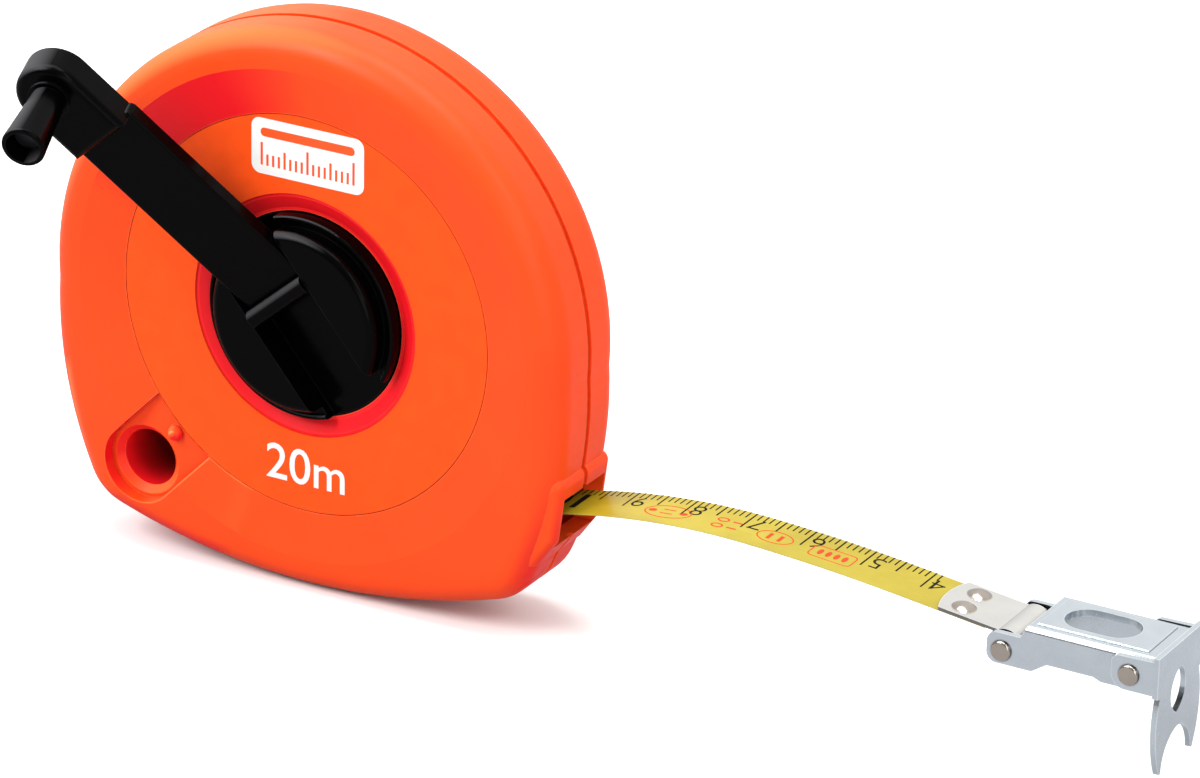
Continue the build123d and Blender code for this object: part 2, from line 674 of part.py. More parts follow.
def claw():
    """Folded claw: striking plate, two ears outside the bracket, forked talons."""
    plane = Plane(origin=(CLAW_X, SEAM_Y, 0), x_dir=(0, 1, 0), z_dir=(1, 0, 0))
    plate = extrude(plane * claw_face(), amount=SHEET)
    plate -= extrude(plane * claw_opening(), amount=SHEET + 1)
    ear = [
        (CLAW_X + SHEET, -21.8), (CLAW_X + SHEET, -27.2), (135.4, -27.2),
        (135.4, -22.6), (136.2, -22.0),
    ]
    face = make_face(Polyline(*ear, close=True))
    face = fillet([v for v in face.vertices() if v.X < 139 and v.Y < -27], 2.2)
    face = fillet([v for v in face.vertices() if v.X < 137 and v.Y > -23], 0.5)
    ears = prism(face, CLAW_Y[1], CLAW_Y[0])
    ears -= block((100, CLAW_X), (CLAW_Y[0] + SHEET, CLAW_Y[1] - SHEET), (-50, 0))
    ears -= extrude(plane * claw_opening(), amount=SHEET + 1)
    body = plate + ears
    return body - disc(CLAW_PIN_RADIUS, 0, -20, *CLAW_PIN)


def claw_pin():
    return headed_pin(CLAW_PIN_RADIUS, CLAW_WIDTH / 2, CLAW_PIN)


PARTS = {
    "front_shell": front_shell,
    "rear_shell": rear_shell,
    "front_label": front_label,
    "rear_label": rear_label,
    "case_screws": case_screws,
    "reel_washer": reel_washer,
    "reel_screw": reel_screw,
    "blade_lead": blade_lead,
    "hub": hub,
    "hinge_pin": hinge_pin,
    "front_flange": front_flange,
    "rear_flange": rear_flange,
    "drum": drum,
    "anchor_clip": anchor_clip,
    "hub_screws": hub_screws,
    "blade_coil": blade_coil,
    "crank_arm": crank_arm,
    "knob_stud": knob_stud,
    "crank_knob": crank_knob,
    "blade_run": blade_run,
    "end_plate": end_plate,
    "end_rivets": end_rivets,
    "hook_bracket": hook_bracket,
    "knuckle_pin": knuckle_pin,
    "claw": claw,
    "claw_pin": claw_pin,
}

os.makedirs("parts", exist_ok=True)
for name, build in PARTS.items():
    export_step(build(), f"parts/{name}.step")
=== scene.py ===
import json
import math

import bmesh
import bpy
from mathutils import Matrix, Vector


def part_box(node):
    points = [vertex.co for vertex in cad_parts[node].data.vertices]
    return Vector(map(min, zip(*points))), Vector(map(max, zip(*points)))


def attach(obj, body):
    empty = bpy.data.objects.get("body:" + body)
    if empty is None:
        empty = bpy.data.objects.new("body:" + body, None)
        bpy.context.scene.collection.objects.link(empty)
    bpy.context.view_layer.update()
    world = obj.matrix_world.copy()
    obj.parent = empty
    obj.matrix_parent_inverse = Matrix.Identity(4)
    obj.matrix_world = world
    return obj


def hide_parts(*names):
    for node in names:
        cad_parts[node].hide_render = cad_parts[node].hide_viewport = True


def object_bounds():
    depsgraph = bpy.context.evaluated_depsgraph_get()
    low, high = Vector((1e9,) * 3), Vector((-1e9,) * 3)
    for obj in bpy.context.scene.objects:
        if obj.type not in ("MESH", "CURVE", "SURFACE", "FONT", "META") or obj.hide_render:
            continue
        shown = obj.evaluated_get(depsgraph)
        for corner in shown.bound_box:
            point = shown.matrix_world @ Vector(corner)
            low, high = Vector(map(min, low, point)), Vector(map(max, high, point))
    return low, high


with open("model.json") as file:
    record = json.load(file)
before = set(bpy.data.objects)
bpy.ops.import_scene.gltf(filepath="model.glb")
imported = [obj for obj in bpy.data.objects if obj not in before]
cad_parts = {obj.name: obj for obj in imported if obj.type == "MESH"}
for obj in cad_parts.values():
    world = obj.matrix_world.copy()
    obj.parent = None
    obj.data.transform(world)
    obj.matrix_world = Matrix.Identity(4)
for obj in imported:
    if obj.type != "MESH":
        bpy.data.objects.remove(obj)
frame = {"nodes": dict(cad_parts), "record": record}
cad_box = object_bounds()
MM = 0.001                        # scene units are metres; sizes below are millimetres unless said


# ------------------------------------------------------------------ camera

TARGET = Vector((51.1, -17.0, -0.2)) * MM
AZIMUTH = math.radians(29.12)
ELEVATION = math.radians(23.26)
ROLL = math.radians(1.19)
DISTANCE = 1.0                    # metres
LENS = 204.3
SENSOR = 36.0
CLIP = (0.05, 20.0)               # metres


def camera():
    """Long lens, a little above the case and to the right of its face."""
    back = Vector((
        math.sin(AZIMUTH) * math.cos(ELEVATION),
        -math.cos(AZIMUTH) * math.cos(ELEVATION),
        math.sin(ELEVATION),
    ))
    level = Vector((0, 0, 1)).cross(back).normalized()
    upright = back.cross(level)
    right = level * math.cos(ROLL) + upright * math.sin(ROLL)
    up = upright * math.cos(ROLL) - level * math.sin(ROLL)
    data = bpy.data.cameras.new("camera")
    data.lens = LENS
    data.sensor_width = SENSOR
    data.clip_start, data.clip_end = CLIP
    cam = bpy.data.objects.new("camera", data)
    bpy.context.scene.collection.objects.link(cam)
    turn = Matrix((right, up, back)).transposed().to_4x4()
    cam.matrix_world = Matrix.Translation(TARGET + back * DISTANCE) @ turn
    bpy.context.scene.camera = cam


# ------------------------------------------------------------------ node graphs

BEVEL_SAMPLES = 4
CORNER_SAMPLES = 8
COAT_ROUGHNESS = 0.12
NOISE_ROUGHNESS = 0.55
EDGE_TURN = (0.99, 0.8)           # cosine between true and softened normal: none, and full
CORNER_LIGHT = (0.85, 0.4)        # share of open sky left: none, and full
CORNER_MOST = 0.9


def ramp(tree, value, low, high, to_low=0.0, to_high=1.0):
    """Maps a value from one range to another, and keeps it inside the second."""
    node = tree.nodes.new("ShaderNodeMapRange")
    tree.links.new(value, node.inputs["Value"])
    node.inputs["From Min"].default_value = low
    node.inputs["From Max"].default_value = high
    node.inputs["To Min"].default_value = to_low
    node.inputs["To Max"].default_value = to_high
    return node.outputs["Result"]


class Graph:
    """A material's node tree, with short calls for the nodes used here."""

    def __init__(self, name, metallic=0.0, level=0.5, coat=0.0):
        self.material = bpy.data.materials.new(name)
        self.material.use_nodes = True
        self.tree = self.material.node_tree
        self.shader = self.tree.nodes["Principled BSDF"]
        self.shader.inputs["Metallic"].default_value = metallic
        self.shader.inputs["Specular IOR Level"].default_value = level
        self.shader.inputs["Coat Weight"].default_value = coat
        self.shader.inputs["Coat Roughness"].default_value = COAT_ROUGHNESS
        self.place = self.add("ShaderNodeTexCoord").outputs["Object"]

    def add(self, kind, **values):
        node = self.tree.nodes.new(kind)
        for name, value in values.items():
            setattr(node, name, value)
        return node

    def link(self, source, target):
        self.tree.links.new(source, target)

    def feed(self, socket, value):
        """Links an output, or sets a plain value."""
        if isinstance(value, bpy.types.NodeSocket):
            self.link(value, socket)
        else:
            socket.default_value = value

    def vector(self, operation, one, two, result="Value"):
        node = self.add("ShaderNodeVectorMath", operation=operation)
        self.link(one, node.inputs[0])
        self.feed(node.inputs[1], two)
        return node.outputs[result]

    def noise(self, size, detail, stretch=(1, 1, 1)):
        """Noise whose features are about size millimetres across."""
        mapping = self.add("ShaderNodeMapping")
        mapping.inputs["Scale"].default_value = [1 / (size * MM * s) for s in stretch]
        self.link(self.place, mapping.inputs["Vector"])
        node = self.add("ShaderNodeTexNoise")
        node.inputs["Scale"].default_value = 1.0
        node.inputs["Detail"].default_value = detail
        node.inputs["Roughness"].default_value = NOISE_ROUGHNESS
        self.link(mapping.outputs["Vector"], node.inputs["Vector"])
        return node.outputs["Fac"]

    def remap(self, value, low, high, to_low=0.0, to_high=1.0):
        return ramp(self.tree, value, low, high, to_low, to_high)

    def combine(self, operation, one, two):
        node = self.add("ShaderNodeMath", operation=operation)
        self.feed(node.inputs[0], one)
        self.feed(node.inputs[1], two)
        return node.outputs["Value"]

    def both(self, one, two):
        """Two masks multiplied."""
        return self.combine("MULTIPLY", one, two)

    def either(self, one, two):
        """The stronger of two masks."""
        return self.combine("MAXIMUM", one, two)

    def blend(self, amount, one, two):
        """Colour one turning into colour two as amount goes from 0 to 1."""
        node = self.add("ShaderNodeMix", data_type="RGBA")
        self.link(amount, node.inputs["Factor"])
        for socket, colour in ((node.inputs[6], one), (node.inputs[7], two)):
            self.feed(socket, (*colour, 1) if isinstance(colour, tuple) else colour)
        return node.outputs[2]

    def normal(self, soft=0.0):
        """The surface's normal, or one that rounds its edges by a radius."""
        if not soft:
            return self.add("ShaderNodeNewGeometry").outputs["Normal"]
        bevel = self.add("ShaderNodeBevel", samples=BEVEL_SAMPLES)
        bevel.inputs["Radius"].default_value = soft * MM
        return bevel.outputs["Normal"]

    def facing(self, way, start, full, most=1.0, soft=0.0):
        """0 where the cosine between surface and way is start, rising to most where it is full."""
        cosine = self.vector("DOT_PRODUCT", self.normal(soft), way)
        return self.remap(cosine, start, full, 0.0, most)

    def edges(self, radius):
        """1 along convex and concave edges, 0 on open surfaces."""
        alike = self.vector("DOT_PRODUCT", self.normal(radius), self.normal())
        return self.remap(alike, *EDGE_TURN)

    def crevice(self, reach):
        """Mask for painted shade: highest deep in corners closer than reach millimetres, 0 on open
        surfaces.
        """
        hidden = self.add("ShaderNodeAmbientOcclusion", samples=CORNER_SAMPLES)
        hidden.inputs["Distance"].default_value = reach * MM
        return self.remap(hidden.outputs["AO"], *CORNER_LIGHT, 0.0, CORNER_MOST)

    def within(self, centre, radius, fade=0.2):
        """1 inside a circle in x and z, at any depth, fading to 0 just outside it."""
        flat = self.vector("MULTIPLY", self.place, (1, 0, 1), "Vector")
        away = self.vector("DISTANCE", flat, (centre[0] * MM, 0, centre[1] * MM))
        return self.remap(away, (radius + fade) * MM, radius * MM)

    def between(self, axis, start, full, most=1.0):
        """0 at the place start along an axis, rising to most at the place full."""
        split = self.add("ShaderNodeSeparateXYZ")
        self.link(self.place, split.inputs["Vector"])
        return self.remap(split.outputs[axis], start * MM, full * MM, 0.0, most)

    def bump(self, height, depth):
        """Relief of the given depth in millimetres."""
        node = self.add("ShaderNodeBump")
        node.inputs["Distance"].default_value = depth * MM
        node.inputs["Strength"].default_value = 1.0
        self.link(height, node.inputs["Height"])
        return node.outputs["Normal"]

    def done(self, colour, roughness, normal):
        self.link(colour, self.shader.inputs["Base Color"])
        self.link(roughness, self.shader.inputs["Roughness"])
        self.link(normal, self.shader.inputs["Normal"])
        return self.material


# ------------------------------------------------------------------ colours

SHELL_ORANGE = (0.92, 0.066, 0.008)
LABEL_ORANGE = (0.95, 0.080, 0.006)
# Painted highlight oranges for the crest and recess lip; the edge orange is wear and a painted
# highlight; the reds are painted shade.
CREST_HIGHLIGHT_ORANGE = (1.0, 0.17, 0.045)
LIP_HIGHLIGHT_ORANGE = (1.0, 0.30, 0.09)
WEAR_AND_HIGHLIGHT_ORANGE = (0.97, 0.22, 0.06)
PAINTED_SHADE_RED = (0.83, 0.008, 0.014)
GROOVE_SHADE_RED = (0.42, 0.010, 0.008)
BORE_SHADE_RED = (0.12, 0.004, 0.004)

GLOSS_BLACK = (0.0006, 0.0006, 0.0006)
MATT_BLACK = (0.002, 0.002, 0.002)
# Edge colours of the black parts are wear and a painted highlight; the grey is a painted sheen.
WEAR_AND_HIGHLIGHT_GLOSS = (0.014, 0.014, 0.015)
WEAR_AND_HIGHLIGHT_MATT = (0.016, 0.016, 0.016)
SHEEN_GREY = (0.055, 0.055, 0.058)

BLADE_YELLOW = (0.38, 0.305, 0.016)
DULL_YELLOW = (0.32, 0.25, 0.010)
HAIR_YELLOW = (0.25, 0.18, 0.01)
RUBBED_YELLOW = (0.34, 0.33, 0.3)
TURN_YELLOW = (0.42, 0.33, 0.06)
TURN_STEEL = (0.36, 0.36, 0.34)

HOOK_ZINC = (0.54, 0.59, 0.63)
PIN_GREY = (0.52, 0.49, 0.46)
SCREW_ZINC = (0.5, 0.5, 0.48)
PIN_WARM = (0.40, 0.355, 0.31)
STUD_BLACK = (0.05, 0.05, 0.055)
TONGUE_STEEL = (0.62, 0.61, 0.58)

INK_WHITE = (0.86, 0.85, 0.83)
INK_BLACK = (0.006, 0.006, 0.005)
INK_RED = (0.52, 0.055, 0.012)


def scaled(colour, factor):
    return tuple(min(1.0, c * factor) for c in colour)


# ------------------------------------------------------------------ painted light and shade by place

FRONT = (0.0, -1.0, 0.0)
RIGHT = (1.0, 0.0, 0.0)
UP = (0.0, 0.0, 1.0)
DISH_SHADE = (0.57, 0.0, -0.82)   # the dish's upper left slopes this way
FAR_SIDE = (0.62, 0.0, -0.78)     # the recess's upper left side faces this way
LIP_SIDE = (-0.62, 0.0, 0.78)     # its lower right side faces back
CREST = (-0.60, -0.40, 0.69)
SHEEN = (-0.35, -0.60, 0.72)

HUB = (0.0, 0.0)                  # x and z
WELL_RADIUS = 19.6
DISH_RADIUS = 39.7
SOCKET = (-28.8, -30.4)           # x and z of the folded knob's socket
BORE_RADIUS = 4.8
RECESS_REACH = 18.0
RECESS_FADE = 2.0
RECESS_EDGE = 0.45
SIDE_TOP = -16.0                  # z where the side below the mouth starts to redden
SIDE_LOW = -30.0
BORE_OPEN = -16.0                 # y where the bore starts to darken
BORE_DEEP = -6.0
GROOVE_REACH = 0.7


def face_shade(g, front):
    """Painted shade on the hub's well, and on the upper left of the dish round the label."""
    well = g.within(HUB, WELL_RADIUS)
    dish = g.both(g.facing(DISH_SHADE, 0.172, 0.207), g.within(HUB, DISH_RADIUS))
    return g.both(g.either(well, dish), front)


def side_shade(g):
    """Painted shade on the case's right side, below the mouth."""
    low = g.between("Z", SIDE_TOP, SIDE_LOW)
    return g.both(low, g.facing(RIGHT, 0.3, 0.8, most=0.75))


def recess_shade(g, walls, around):
    """Painted shade on the upper left walls and edges of the crank's recess."""
    wall = g.both(walls, g.facing(FAR_SIDE, 0.1, 0.5))
    edge = g.facing(FAR_SIDE, 0.1, 0.45, most=0.85, soft=RECESS_EDGE)
    return g.both(around, g.either(wall, edge))


def shell_tone(g, base):
    """Painted shade in red where the shell is shaded and grooved; painted highlight in paler
    orange on its crest and recess lip.
    """
    front = g.facing(FRONT, 0.8, 0.85)
    # All that is turned from the front, the case's back too: the bore's painted shade is a disc
    # there.
    walls = g.facing(FRONT, 0.7, 0.5)
    around = g.within(SOCKET, RECESS_REACH, RECESS_FADE)
    bore = g.both(walls, g.within(SOCKET, BORE_RADIUS))
    # where the recess's lower right lip gets a painted highlight
    lip = g.both(around, g.facing(LIP_SIDE, 0.1, 0.45, soft=RECESS_EDGE))
    outside = g.either(face_shade(g, front), side_shade(g))
    recess = g.either(recess_shade(g, walls, around), bore)
    # painted highlight: paler orange on the upper left crest
    base = g.blend(g.facing(CREST, 0.66, 0.95, most=0.9), base, CREST_HIGHLIGHT_ORANGE)
    base = g.blend(g.both(lip, front), base, LIP_HIGHLIGHT_ORANGE)
    # painted shade: deeper red on the well, the dish's upper left, the side below the mouth and
    # the recess's walls
    base = g.blend(g.either(outside, recess), base, PAINTED_SHADE_RED)
    # painted shade: the bore darkens the deeper it goes
    inward = g.between("Y", BORE_OPEN, BORE_DEEP, most=0.9)
    base = g.blend(g.both(bore, inward), base, BORE_SHADE_RED)
    # painted shade: dark red in grooves and corners
    return g.blend(g.crevice(GROOVE_REACH), base, GROOVE_SHADE_RED)


def black_tone(g, base):
    """Painted sheen: a painted highlight on the upper edges of the black parts."""
    return g.blend(g.facing(SHEEN, 0.78, 1.0), base, SHEEN_GREY)


# ------------------------------------------------------------------ materials

# The parts of a noise's range that are spread over a whole blend.
CLOSE = (0.35, 0.65)
WIDE = (0.3, 0.7)


def moulded(name, colour, wear_and_highlight, rough, level, painted_light, grain=0.35, depth=0.004):
    """Injection-moulded plastic: faint flow clouds, fine grain, rubbed edges that also paint a
    highlight, light scuffs, and painted light and shade.
    """
    g = Graph(name, level=level)
    cloud = g.noise(14.0, 2.0)
    scuff = g.noise(2.2, 6.0, stretch=(4, 1, 0.6))
    fine = g.noise(grain, 2.0)
    # painted light and shade, from the function given
    base = painted_light(g, g.blend(g.remap(cloud, *CLOSE), scaled(colour, 0.94), colour))
    # rubbed edges: wear, and also a painted edge highlight
    wear_and_highlight_mask = g.both(g.edges(0.35), g.remap(scuff, 0.35, 0.7, 0.25, 0.75))
    base = g.blend(wear_and_highlight_mask, base, wear_and_highlight)
    return g.done(base, g.remap(scuff, 0.3, 0.75, *rough), g.bump(fine, depth))


def printed(name, colour, rough=0.42, level=0.4):
    """Screen-printed ink: slightly uneven cover and a fine pinhole texture."""
    g = Graph(name, level=level)
    cover = g.noise(3.0, 4.0)
    pin = g.noise(0.12, 1.0)
    base = g.blend(g.remap(cover, *WIDE), scaled(colour, 0.9), colour)
    return g.done(base, g.remap(pin, *WIDE, rough, rough + 0.12), g.bump(pin, 0.003))


def metal(name, colour, rough, marks, dull=0.8, painted_side_shade=1.0, depth=0.0003):
    """Plated steel: cloudy plating, stretched tool marks, brighter rubbed edges that also paint a
    highlight, painted shade in corners.
    """
    g = Graph(name, metallic=1.0)
    cloud = g.noise(4.0, 4.0)
    tooled = g.noise(0.25, 4.0, stretch=marks)
    base = g.blend(g.remap(cloud, *WIDE), scaled(colour, dull), colour)
    # rubbed edges: wear, and also a painted edge highlight
    base = g.blend(g.both(g.edges(0.25), 0.8), base, scaled(colour, 1.7))
    # painted shade on the sides that don't face up
    if painted_side_shade < 1.0:
        base = g.blend(g.facing(UP, 0.9, 0.45), base, scaled(colour, painted_side_shade))
    # painted shade in corners and creases
    base = g.blend(g.crevice(0.9), base, scaled(colour, 0.12))
    return g.done(base, g.remap(tooled, *WIDE, *rough), g.bump(tooled, depth))


def enamel():
    """Yellow blade lacquer under a thin clear coat, with long hairlines and rubbed edges."""
    g = Graph("yellow_enamel", level=0.2, coat=0.12)
    hair = g.noise(0.16, 5.0, stretch=(60, 1, 4))
    cloud = g.noise(9.0, 3.0)
    base = g.blend(g.remap(cloud, *CLOSE), DULL_YELLOW, BLADE_YELLOW)
    base = g.blend(g.remap(hair, 0.62, 0.75, 0.0, 0.4), base, HAIR_YELLOW)
    base = g.blend(g.both(g.edges(0.1), 0.35), base, RUBBED_YELLOW)
    return g.done(base, g.remap(hair, *WIDE, 0.26, 0.42), g.bump(hair, 0.002))


def wound():
    """Edge-on turns of the wound blade: fine steel rings with yellow between them."""
    g = Graph("wound_turns", metallic=0.4)
    rings = g.add("ShaderNodeTexWave", wave_type="RINGS", rings_direction="Y")
    rings.inputs["Scale"].default_value = 1 / (4 * MM)
    rings.inputs["Distortion"].default_value = 0.4
    g.link(g.place, rings.inputs["Vector"])
    turn = rings.outputs["Fac"]
    base = g.blend(turn, TURN_YELLOW, TURN_STEEL)
    return g.done(base, g.remap(turn, 0.0, 1.0, 0.35, 0.5), g.bump(turn, 0.03))


FINISH = {
    "orange_shell": moulded(
        "shell_orange", SHELL_ORANGE, WEAR_AND_HIGHLIGHT_ORANGE, (0.36, 0.5), 0.16, shell_tone),
    "orange_label": printed("label_orange", LABEL_ORANGE, 0.45, 0.14),
    "gloss_black": moulded(
        "black_gloss", GLOSS_BLACK, WEAR_AND_HIGHLIGHT_GLOSS, (0.16, 0.28), 0.04, black_tone,
        grain=0.5, depth=0.0015),
    "black_plastic": moulded(
        "black_matt", MATT_BLACK, WEAR_AND_HIGHLIGHT_MATT, (0.34, 0.5), 0.1, black_tone),
    "yellow_blade": enamel(),
    "hook_steel": metal("hook_zinc", HOOK_ZINC, (0.18, 0.28), (1, 1, 1), dull=0.92),
    "steel_pin": metal("pin_steel", PIN_GREY, (0.24, 0.4), (5, 5, 1), dull=0.82),
    "zinc_screw": metal("screw_zinc", SCREW_ZINC, (0.3, 0.45), (2, 1, 2), dull=0.75),
}
PIN_STEEL = metal("pin_warm", PIN_WARM, (0.14, 0.26), (3, 3, 1))
NODE_FINISH = {
    "blade_coil": wound(),
    "knob_stud": metal("stud_blackened", STUD_BLACK, (0.35, 0.5), (3, 3, 1)),
    "end_plate": metal(
        "tongue_steel", TONGUE_STEEL, (0.2, 0.24), (2, 2, 2), dull=0.94, painted_side_shade=0.3,
        depth=0.0001),
    "end_rivets": PIN_STEEL,
    "knuckle_pin": PIN_STEEL,
    "claw_pin": PIN_STEEL,
}
WHITE_PRINT = printed("white_ink", INK_WHITE)
BLACK_PRINT = printed("black_ink", INK_BLACK, 0.55, 0.06)
RED_PRINT = printed("red_ink", INK_RED, 0.55, 0.1)
ORANGE_PRINT = printed("orange_ink", LABEL_ORANGE)


def dress_nodes():
    """Every CAD node gets its slot's finish; a few get one of their own."""
    for part in frame["record"]["subparts"]:
        node = frame["nodes"][part["node"]]
        node.data.materials.clear()
        node.data.materials.append(NODE_FINISH.get(part["node"], FINISH[part["material_slot"]]))


# ------------------------------------------------------------------ stage, in metres and watts

FLOOR_SIZE = 6.0
FLOOR_GAP = 0.0002
FLOOR_SEEN = (0.93, 0.93, 0.93, 1)
FLOOR_BOUNCE = (0.42, 0.42, 0.43, 1)
SKY_BY_HEIGHT = (-0.1, 0.9, 0.45, 0.95)   # from low to high: directions, then brightness
SKY_BY_DEPTH = (-0.9, 0.9, 0.45, 1.75)    # from front to back
LIGHTS_AIM = Vector((0.03, 0.0, 0.0))
LIGHTS = (                                # name, place, width and height, power
    ("key", (-0.45, -0.75, 0.75), (0.6, 0.6), 11.0),
    ("fill", (0.8, -1.0, 0.05), (0.7, 0.7), 5.0),
    ("top", (0.05, 0.05, 1.1), (0.9, 0.5), 10.0),
    ("strip", (0.9, -0.5, 0.7), (0.12, 0.7), 3.0),
)


def area_light(name, place, size, power):
    data = bpy.data.lights.new(name, "AREA")
    data.shape = "RECTANGLE"
    data.size, data.size_y = size
    data.energy = power
    lamp = bpy.data.objects.new(name, data)
    bpy.context.scene.collection.objects.link(lamp)
    lamp.location = place
    way = LIGHTS_AIM - Vector(place)
    lamp.rotation_euler = way.to_track_quat("-Z", "Y").to_euler()


def floor():
    """Pale plane under the case; it bounces less light than it shows."""
    height = cad_box[0][2] - FLOOR_GAP
    bpy.ops.mesh.primitive_plane_add(size=FLOOR_SIZE, location=(0, 0, height))
    plane = bpy.context.object
    plane.name = "floor"
    mat = bpy.data.materials.new("floor_paper")
    mat.use_nodes = True
    tree = mat.node_tree
    seen = tree.nodes["Principled BSDF"]
    seen.inputs["Base Color"].default_value = FLOOR_SEEN
    seen.inputs["Roughness"].default_value = 0.8
    seen.inputs["Specular IOR Level"].default_value = 0.1
    bounce = tree.nodes.new("ShaderNodeBsdfDiffuse")
    bounce.inputs["Color"].default_value = FLOOR_BOUNCE
    path = tree.nodes.new("ShaderNodeLightPath")
    mix = tree.nodes.new("ShaderNodeMixShader")
    tree.links.new(path.outputs["Is Camera Ray"], mix.inputs["Fac"])
    tree.links.new(bounce.outputs["BSDF"], mix.inputs[1])
    tree.links.new(seen.outputs["BSDF"], mix.inputs[2])
    tree.links.new(mix.outputs["Shader"], tree.nodes["Material Output"].inputs["Surface"])
    plane.data.materials.append(mat)


def sky():
    """Studio surround: bright overhead and behind, dimmer in front."""
    world = bpy.data.worlds.new("studio")
    bpy.context.scene.world = world
    world.use_nodes = True
    tree = world.node_tree
    coords = tree.nodes.new("ShaderNodeTexCoord")
    split = tree.nodes.new("ShaderNodeSeparateXYZ")
    tree.links.new(coords.outputs["Generated"], split.inputs["Vector"])
    total = tree.nodes.new("ShaderNodeMath")
    total.operation = "MULTIPLY"
    tree.links.new(ramp(tree, split.outputs["Z"], *SKY_BY_HEIGHT), total.inputs[0])
    tree.links.new(ramp(tree, split.outputs["Y"], *SKY_BY_DEPTH), total.inputs[1])
    tree.links.new(total.outputs["Value"], tree.nodes["Background"].inputs["Strength"])
    tree.nodes["Background"].inputs["Color"].default_value = (1, 1, 1, 1)


def studio():
    bpy.context.scene.view_settings.view_transform = "Standard"
    sky()
    floor()
    for name, place, size, power in LIGHTS:
        area_light(name, place, size, power)


# ------------------------------------------------------------------ piece making

INK = 0.012                       # thickness of a printed plate
MERGE = 1e-7                      # metres
CORNER_STEPS = 8
OVAL_STEPS = 28
FIGURE_HEIGHT = 0.73              # height of a figure in a font of size 1


def piece(name, bm, material, body):
    """Turns a drawn mesh into a flat-shaded piece that rides a body."""
    bmesh.ops.remove_doubles(bm, verts=bm.verts, dist=MERGE)
    bmesh.ops.recalc_face_normals(bm, faces=bm.faces)
    mesh = bpy.data.meshes.new(name)
    bm.to_mesh(mesh)
    bm.free()
    for face in mesh.polygons:
        face.use_smooth = False
    mesh.materials.append(material)
    thing = bpy.data.objects.new(name, mesh)
    bpy.context.scene.collection.objects.link(thing)
    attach(thing, body)
    return thing


def join_loops(bm, here, there):
    """Side faces between two loops of the same number of points."""
    count = len(here)
    for i in range(count):
        j = (i + 1) % count
        bm.faces.new((here[i], here[j], there[j], there[i]))


def loop_at(bm, outline, spot, height):
    return [bm.verts.new(spot(u, v, height)) for u, v in outline]


def slab(bm, outline, spot, low=0.0):
    """A printed plate: the outline's (u, v) points placed by spot(u, v, height)."""
    foot = loop_at(bm, outline, spot, low)
    top = loop_at(bm, outline, spot, low + INK)
    bm.faces.new(foot[::-1])
    bm.faces.new(top)
    join_loops(bm, foot, top)


def band(bm, outer, inner, spot):
    """A printed frame between two outlines with the same number of points."""
    corners = ((outer, 0.0), (outer, INK), (inner, INK), (inner, 0.0))
    loops = [loop_at(bm, outline, spot, height) for outline, height in corners]
    for here, there in zip(loops, loops[1:] + loops[:1]):
        join_loops(bm, here, there)


def rectangle(u0, u1, v0, v1):
    return [(u0, v0), (u1, v0), (u1, v1), (u0, v1)]


def rounded(u0, u1, v0, v1, radius):
    """Outline of a rectangle with round corners."""
    corners = (
        (u1 - radius, v1 - radius, 0), (u0 + radius, v1 - radius, 90),
        (u0 + radius, v0 + radius, 180), (u1 - radius, v0 + radius, 270),
    )
    points = []
    for u, v, start in corners:
        for k in range(CORNER_STEPS + 1):
            turn = math.radians(start + 90 * k / CORNER_STEPS)
            points.append((u + radius * math.cos(turn), v + radius * math.sin(turn)))
    return points


def oval(u, v, half_u, half_v):
    turns = [2 * math.pi * k / OVAL_STEPS for k in range(OVAL_STEPS)]
    return [(u + half_u * math.cos(t), v + half_v * math.sin(t)) for t in turns]


def lettering(bm, text, height, weight, spot):
    """Plain sans figures as printed plates, centred on u = v = 0."""
    curve = bpy.data.curves.new("figures", "FONT")
    curve.body = text
    curve.align_x = "CENTER"
    curve.size = height / FIGURE_HEIGHT
    curve.offset = weight * height
    curve.extrude = 0.5
    curve.resolution_u = 5
    holder = bpy.data.objects.new("figures", curve)
    bpy.context.scene.collection.objects.link(holder)
    mesh = bpy.data.meshes.new_from_object(
        holder.evaluated_get(bpy.context.evaluated_depsgraph_get()))
    start = len(bm.verts)
    bm.from_mesh(mesh)
    bm.verts.ensure_lookup_table()
    for vert in bm.verts[start:]:
        u, v, lift = vert.co
        vert.co = spot(u, v - height / 2, 0.0 if lift < 0 else INK)
    bpy.data.objects.remove(holder)
    bpy.data.meshes.remove(mesh)


# ------------------------------------------------------------------ blade

BLADE_NEAR, BLADE_FAR = [corner[1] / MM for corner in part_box("blade_run")]
BLADE_HALF = 0.065                # half of its thickness
BLADE_SOFT = 0.03                 # break of its long edges
BLADE_STEPS = 96
MOUTH = (46.4, -22.6)             # x and z of the blade's middle at the mouth
MOUTH_SLOPE = math.radians(11.0)
BENDS = ((118.9, math.radians(13.4)), (323.7, math.radians(4.5)))   # radius and sweep
TAIL = -13.6                      # the strip starts this far inside the mouth
TIP_X = 114.0                     # and ends here, under the end plate
ZERO = 95.0                       # from the mouth along to the scale's zero, the claw's face


def route(s):
    """Middle of the free blade, s millimetres outside the mouth: x, z and heading."""
    x, z = MOUTH
    heading = MOUTH_SLOPE
    if s > 0:
        for radius, sweep in BENDS:
            turn = min(s / radius, sweep)
            x += radius * (math.sin(heading) - math.sin(heading - turn))
            z += radius * (math.cos(heading - turn) - math.cos(heading))
            heading -= turn
            s -= radius * turn
    return x + s * math.cos(heading), z + s * math.sin(heading), heading


def on_blade(s, y, lift):
    """A point lift millimetres above the blade's upper face."""
    x, z, heading = route(s)
    rise = BLADE_HALF + lift
    return Vector((x - rise * math.sin(heading), y, z + rise * math.cos(heading))) * MM


def blade_end():
    """Distance along the route at which the blade's free end lies."""
    bent = sum(radius * sweep for radius, sweep in BENDS)
    x, _, heading = route(bent)
    return bent + (TIP_X - x) / math.cos(heading)


